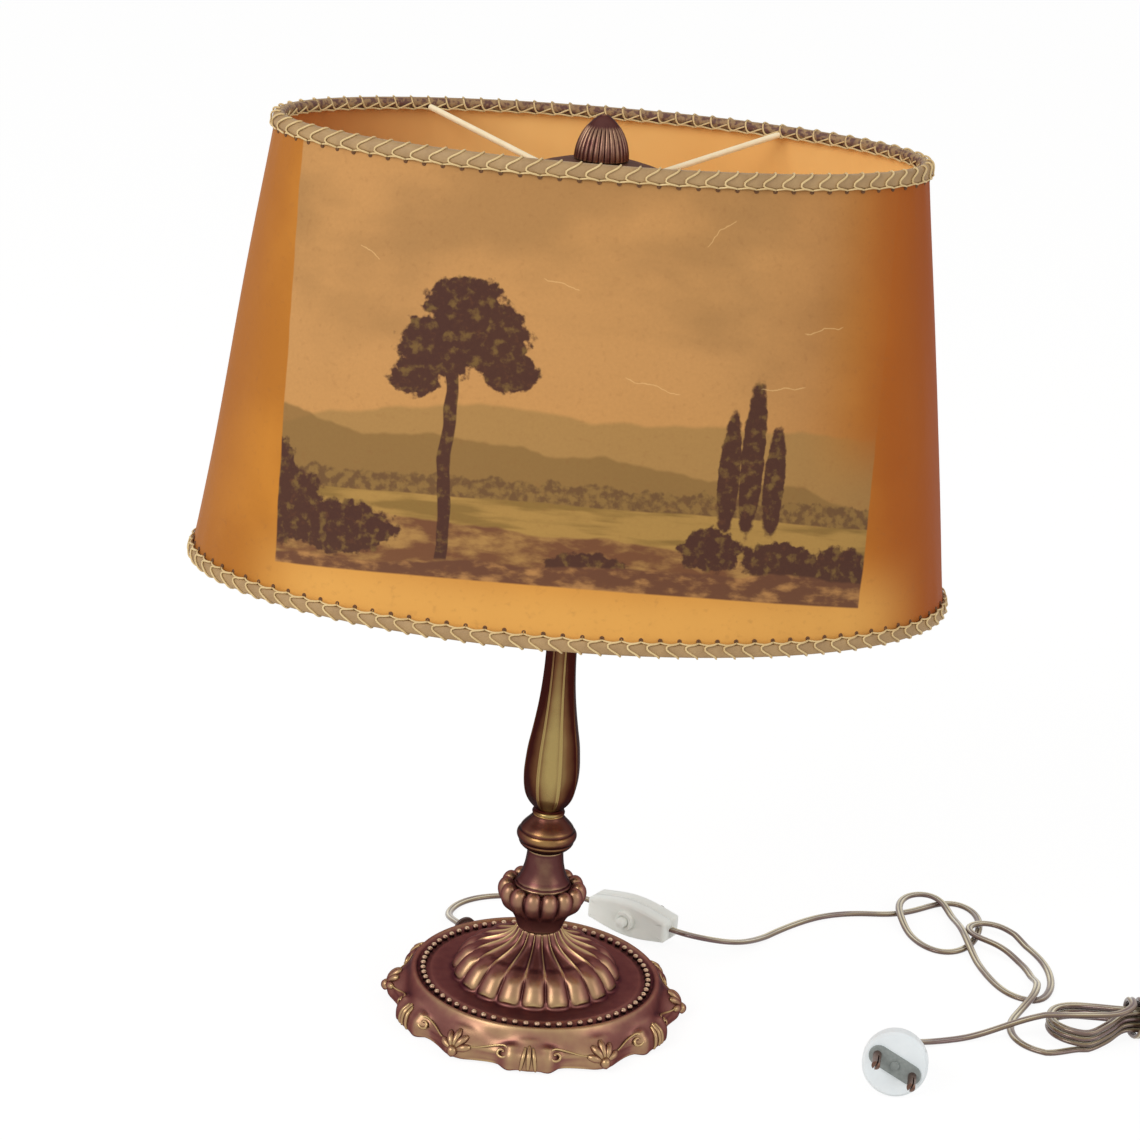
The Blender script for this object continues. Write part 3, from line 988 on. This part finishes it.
# Bindings: a strip of tan leather folded over each edge and laced on with cream thread through
# punched holes. Each stitch runs up over the edge, and a second thread joins hole to hole.
leather, tree, shader, _, hide = speckled("tan_binding_leather", "#8A6A46", "#B99868", 8, 4.0, 0.6)
place = here(tree)
pebble = add(tree, "ShaderNodeTexVoronoi", {0: place, "Scale": 1 / (1.1 * MM)}).outputs["Distance"]
patchy = ranged(tree, noise(tree, place, 2.4, 2.0), 0.42, 0.58, 0.2, 1.0)
inside = add(tree, "ShaderNodeAttribute", {"attribute_name": "inside"}).outputs["Fac"]
feed(tree, shader, {"Base Color": blend(tree, hide, "#5E3A30", maths(tree, "MULTIPLY", inside, patchy)),
                    "Normal": roughened(tree, pebble, 0.4, 0.3)})
thread, tree, shader, _, _ = speckled("waxed_cream_thread", "#E8CF9A", "#C2A068", 7, 2.0, 0.55)
feed(tree, shader, {"Normal": roughened(tree, noise(tree, here(tree), 0.6, 3.0), 0.5, 0.2)})
shadow_hole = speckled("punched_hole_shadow", "#4A2E1C", "#7A5230", 0.8, 3.0, 0.9)[0]
# The strip as (outward, up) and the threads of one stitch as (along, outward, up) from the edge
STRIP_STEPS, FOLDED_IN = 320, -2
strip_section = [
    (0.25, -4.5), (1.0, -4.3), (1.4, -3.5), (1.5, -2.0), (1.4, -0.3), (1.0, 0.8), (0, 1.3),
    (-1.5, 1.4), (-2.8, 1.1), (-3.6, 0.2), (-3.9, -1.4), (-3.9, -3.4), (-3.5, -3.4), (-3.2, -1.2),
    (-2.6, 0.2), (-0.9, 0.6), (0.2, 0.1)]
LACE_PITCH, STITCH_R, SECOND_R = 9.2, 0.45, 0.4
THREAD_STEP, THREAD_SIDES, THREAD_TOP = 0.8, 6, (0.1, -1, 0.3)
stitch = [
    (-1.0, -4.3, -3.2), (3.8, -4.4, -2.6), (7.4, -4.4, -2.4), (8.8, -4.2, -0.4), (9.3, -2.6, 1.6),
    (9.2, -0.4, 1.8), (8.3, 1.1, 0.9), (6.5, 1.7, -0.2), (4.6, 1.9, -1.2), (3.0, 1.9, -2.4),
    (2.9, 1.8, -3.5), (4.3, 1.7, -4.3), (6.8, 1.4, -4.7), (9.2, 0.4, -5.2)]
border = [(0, 0.4, -5.2), (2.3, 1.3, -4.8), (4.6, 1.5, -4.6), (6.9, 1.3, -4.8), (9.2, 0.4, -5.2)]
crossing = [(0.4, -4.2, -0.2), (2.6, -4.5, -1.0), (5.2, -4.5, -2.2), (8.2, -4.3, -3.3)]
HOLE_SIDES, HOLE_DROP = 10, 5.9
hole_rows = [(0.15, 0.15), (0.5, 0.6), (0.25, 1.0), (-0.3, 1.0)]
SMALL_TURN, EDGE_LEAN = 0.001, math.atan2(BOTTOM_A - TOP_A, SHADE_H)


def placed_copies(tree, given):
    """Copies of a piece at points, each with the turn that its point holds."""
    info = add(tree, "GeometryNodeObjectInfo", {"Object": given["Piece"]})
    turn = add(tree, "GeometryNodeInputNamedAttribute", {"data_type": "FLOAT_VECTOR", "Name": "turn"})
    return add(tree, "GeometryNodeInstanceOnPoints", {
        "Points": given["Geometry"], "Instance": info.outputs["Geometry"], "Rotation": turn.outputs[0]})


def laced(name, spots, turns, pattern, material):
    """One mesh of a pattern set at spots on the shade's edge; the pattern itself goes."""
    obj = shaped(name, spots, [])
    obj.data.attributes.new("turn", "FLOAT_VECTOR", "POINT").data.foreach_set("vector", turns.ravel())
    grown(obj, {"Piece": ("Object", pattern)}, placed_copies, material)
    bpy.data.objects.remove(pattern)
    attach(obj, "shade")


for edge_name, edge_z, way, stitches in (("top", SHADE_Z + SHADE_H, 1, 84), ("bottom", SHADE_Z, -1, 104)):
    strip_angles, rim_round = even_angles(edge_z, STRIP_STEPS)
    strip = np.stack([oval_at(strip_angles, edge_z + way * up, out) for out, up in strip_section], axis=1)
    binding = piece(edge_name + "_binding", strip.reshape(-1, 3),
                    grid_faces(STRIP_STEPS, len(strip_section), True), "shade")
    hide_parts(edge_name + "_trim")
    binding.data.materials.append(leather)
    store(binding.data, "inside", np.tile([out < FOLDED_IN for out, _ in strip_section], STRIP_STEPS))
    stitch_angles, _ = even_angles(edge_z, stitches)
    spots = oval_at(stitch_angles, edge_z)
    next_to = oval_at(stitch_angles + SMALL_TURN, edge_z) - spots
    heading = np.arctan2(next_to[:, 1], next_to[:, 0])
    turns = np.stack(np.broadcast_arrays(-EDGE_LEAN, 0.0, heading), axis=1)
    stretch = rim_round / stitches / LACE_PITCH
    verts, faces = [], []
    for bends, thick in ((stitch, STITCH_R), (border, SECOND_R), (crossing, SECOND_R)):
        bends = np.array(bends) * (stretch, -1, way)
        run, _ = smooth_line(bends, np.ones_like(bends), THREAD_STEP)
        tops = np.tile(THREAD_TOP, (len(run), 1))
        tube, sides = lofted(run, np.full(len(run), thick), THREAD_SIDES, tops)
        faces += [tuple(k + len(verts) for k in f) for f in sides]
        verts += list(tube)
    laced(edge_name + "_lacing", spots, turns, shaped("stitch", verts, faces), thread)
    rim = 2 * np.pi * np.arange(HOLE_SIDES) / HOLE_SIDES
    hole = [(size * math.cos(a), -out, (size * math.sin(a) - HOLE_DROP) * way)
            for out, size in hole_rows for a in rim]
    laced(edge_name + "_holes", spots, turns, shaped("hole", hole, tube_faces(len(hole_rows), HOLE_SIDES)),
          shadow_hole)

# Spider: four arms of cream enamelled steel wire from the upper ring to a flat hub, which rests on
# the collar on the tube.
dress(speckled("cream_wire_enamel", "#FFF1D0", "#F0DBAC", 5, 6.0, 0.4)[0], "spider", "top_wire_ring",
      "bottom_wire_ring")

# Cap and finial: a spun brass plate over the hub and a cast acorn nut with fine ribs, both dark.
turned("domed_cap", [
    (5.1, 419.1), (9, 419.1), (13.5, 418.6), (19, 417.5), (24.2, 416), (27.8, 414.9), (29, 414.2),
    (28.9, 413.5), (27.8, 413.5), (23, 415.1), (16.5, 416.7), (9.6, 417.7), (8.5, 416.9), (8.5, 407.7),
    (5.1, 407.7)], "cap_plate",
       rubbed_brass("dark_spun_brass", "#46281F", "#6C4A38", "#9A7650", 0.46, 1.0, 0.55, 0.4), "shade")
RIBS, FINIAL_R, FINIAL_H, FINIAL_Z, SEAT_Z, TIP_R, ACORN = 28, 12, 19.7, 419.6, 419.35, 0.05, 0.58
RIB_BAND, FULL_RIB_R, LEAST_RIB = (0.0, 0.66, 0.14), 9, 0.3
RIB_FINE, RIB_RULE = 14, (0.95, 0.97, 0.65, 0.5)
finial_s = np.linspace(0, 1, 60)
finial_seat = [0.02, 5, 9, 11.3]
finial_r = np.concatenate([finial_seat, TIP_R + (FINIAL_R - TIP_R) * np.cos(np.pi / 2 * finial_s) ** ACORN])
finial_up = np.concatenate([[SEAT_Z] * len(finial_seat), FINIAL_Z + FINIAL_H * finial_s])
finial_line = np.column_stack([finial_r, finial_up])
rib_share = np.concatenate([[0, 0, 0, 0.4], bump(finial_s, *RIB_BAND)])
finial_weight = rib_share * np.clip(finial_r / FULL_RIB_R, LEAST_RIB, 1)
finial_brass = rubbed_brass("ribbed_finial_brass", "#2E161A", "#5C3A36", "#C8A884", 0.46, 0.9, 0.28)
lobed("ribbed_acorn", finial_line, finial_weight, RIBS, RIB_FINE, RIB_RULE, "finial_nut",
      "finial", finial_brass, 0.8, 0.1)

# Switch: two moulded white shells screwed together, standing on their long edge, with a round
# collar and a push button.
white_plastic = speckled("aged_white_plastic", "#FAFCF6", "#E9EEE8", 11, 5.0, 0.3)[0]
SWITCH_W, SWITCH_END_W, SWITCH_FACE, SWITCH_WALL, BARREL = 18.0, 11.2, 7.5, 1.6, 1.2
CORNER, SIDE_POINTS, END_POINTS, FACE_IN, FACE_CROWN = 1.2, 25, 5, 1.9, 0.05
end_half = SWITCH_END_W / 2
side_x = np.linspace(0, SWITCH_HALF - CORNER, SIDE_POINTS)
side_y = end_half + (SWITCH_W / 2 - end_half) * np.cos(np.pi / 2 * side_x / SWITCH_HALF) ** BARREL
quarter = list(zip(side_x, side_y)) + [(SWITCH_HALF - 0.5, end_half - 0.15), (SWITCH_HALF, end_half - 0.9)]
quarter += [(SWITCH_HALF, y) for y in np.linspace(end_half - 1.6, 0, END_POINTS)]
half_round = quarter + [(x, -y) for x, y in quarter[-2:0:-1]]
outline = np.array(half_round + [(-x, -y) for x, y in half_round])
tangent = np.roll(outline, -1, axis=0) - np.roll(outline, 1, axis=0)
outward = unit(np.stack([-tangent[:, 1], tangent[:, 0]], axis=1))
outward *= np.sign((outward * outline).sum(1))[:, None]
round_way = np.arctan2(outline[:, 1], outline[:, 0])


def ring_at(z, inset, hole_r=0.0, share=0.0):
    """The outline drawn in by inset, part of the way to a round hole."""
    edge = (outline - outward * inset) * (1 - share)
    return round_axis(hole_r * share, z, round_way) + np.pad(edge, ((0, 0), (0, 1)))


for shell_name, node_name, hole_r, way in (("front_shell", "switch_upper_shell", 4.35, 1),
                                           ("rear_shell", "switch_lower_shell", 0.4, -1)):
    inside_z = SWITCH_FACE - SWITCH_WALL
    rings = [ring_at(SWITCH_FACE + FACE_CROWN, FACE_IN, hole_r, share) for share in (1, 0.66, 0.33)]
    rings += [ring_at(z, inset) for z, inset in (
        (SWITCH_FACE, FACE_IN), (SWITCH_FACE - 0.12, 1.0), (SWITCH_FACE - 0.55, 0.35),
        (SWITCH_FACE - 1.3, 0), (0.35, 0), (0.08, 0.25), (0.08, SWITCH_WALL), (inside_z, SWITCH_WALL))]
    rings.append(ring_at(inside_z, SWITCH_WALL, hole_r, 1))
    size = len(rings), len(outline)
    shell_faces = grid_faces(*size, True) if way > 0 else tube_faces(*size)
    shell_verts = spun(np.concatenate(rings) * (1, 1, way), math.pi / 2, 1, 2)
    shell_verts = spun(shell_verts, SWITCH_TURN) + SWITCH_AT
    shell = piece(shell_name, shell_verts, shell_faces, "lamp")
    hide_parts(node_name)
    shell.data.materials.append(white_plastic)
dress(white_plastic, "switch_collar", "switch_button")

# Plug: a white moulded two-pin plug with a round face, brass pins and a grey fibre strip under
# them, held by a screw.
STRIP_LEN, STRIP_W, STRIP_T, STRIP_BEVEL, FACETS = 27.0, 9.6, 1.05, 0.25, 24
half_turn = np.linspace(-np.pi / 2, np.pi / 2, FACETS // 2)
end_x, end_y = STRIP_W / 2 * np.cos(half_turn) + (STRIP_LEN - STRIP_W) / 2, STRIP_W / 2 * np.sin(half_turn)
loop = np.column_stack([np.concatenate([end_x, -end_x]), np.concatenate([end_y, -end_y])])
layers = [np.column_stack([loop * size, np.full(FACETS, z)])
          for size, z in ((1, 0.02), (1, STRIP_T - STRIP_BEVEL), (0.97, STRIP_T))]
tipped = spun(spun(np.concatenate(layers), PLUG_ROLL), math.pi / 2 - PLUG_UP, 1, 2)
strip_verts, strip_faces = spun(tipped, PLUG_TURN) + plug_at, tube_faces(len(layers), FACETS)
fibre_strip = piece("fibre_strip", strip_verts, strip_faces, "lamp", None, False)
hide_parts("plug_strip")
grey_fibre = speckled("vulcanised_grey_fibre", "#9BA19E", "#6C726F", 1.5, 5.0, 0.6)[0]
fibre_strip.data.materials.append(grey_fibre)
dress(grey_fibre, "plug_screw")
dress(speckled("bright_white_plastic", "#F1F5F6", "#DCE4E7", 9, 4.0, 0.28)[0], "plug_front", "plug_cover")
dress(speckled("dulled_brass", "#8A6A58", "#46302E", 2.5, 4.0, 0.4, 0.9)[0], "plug_pins")
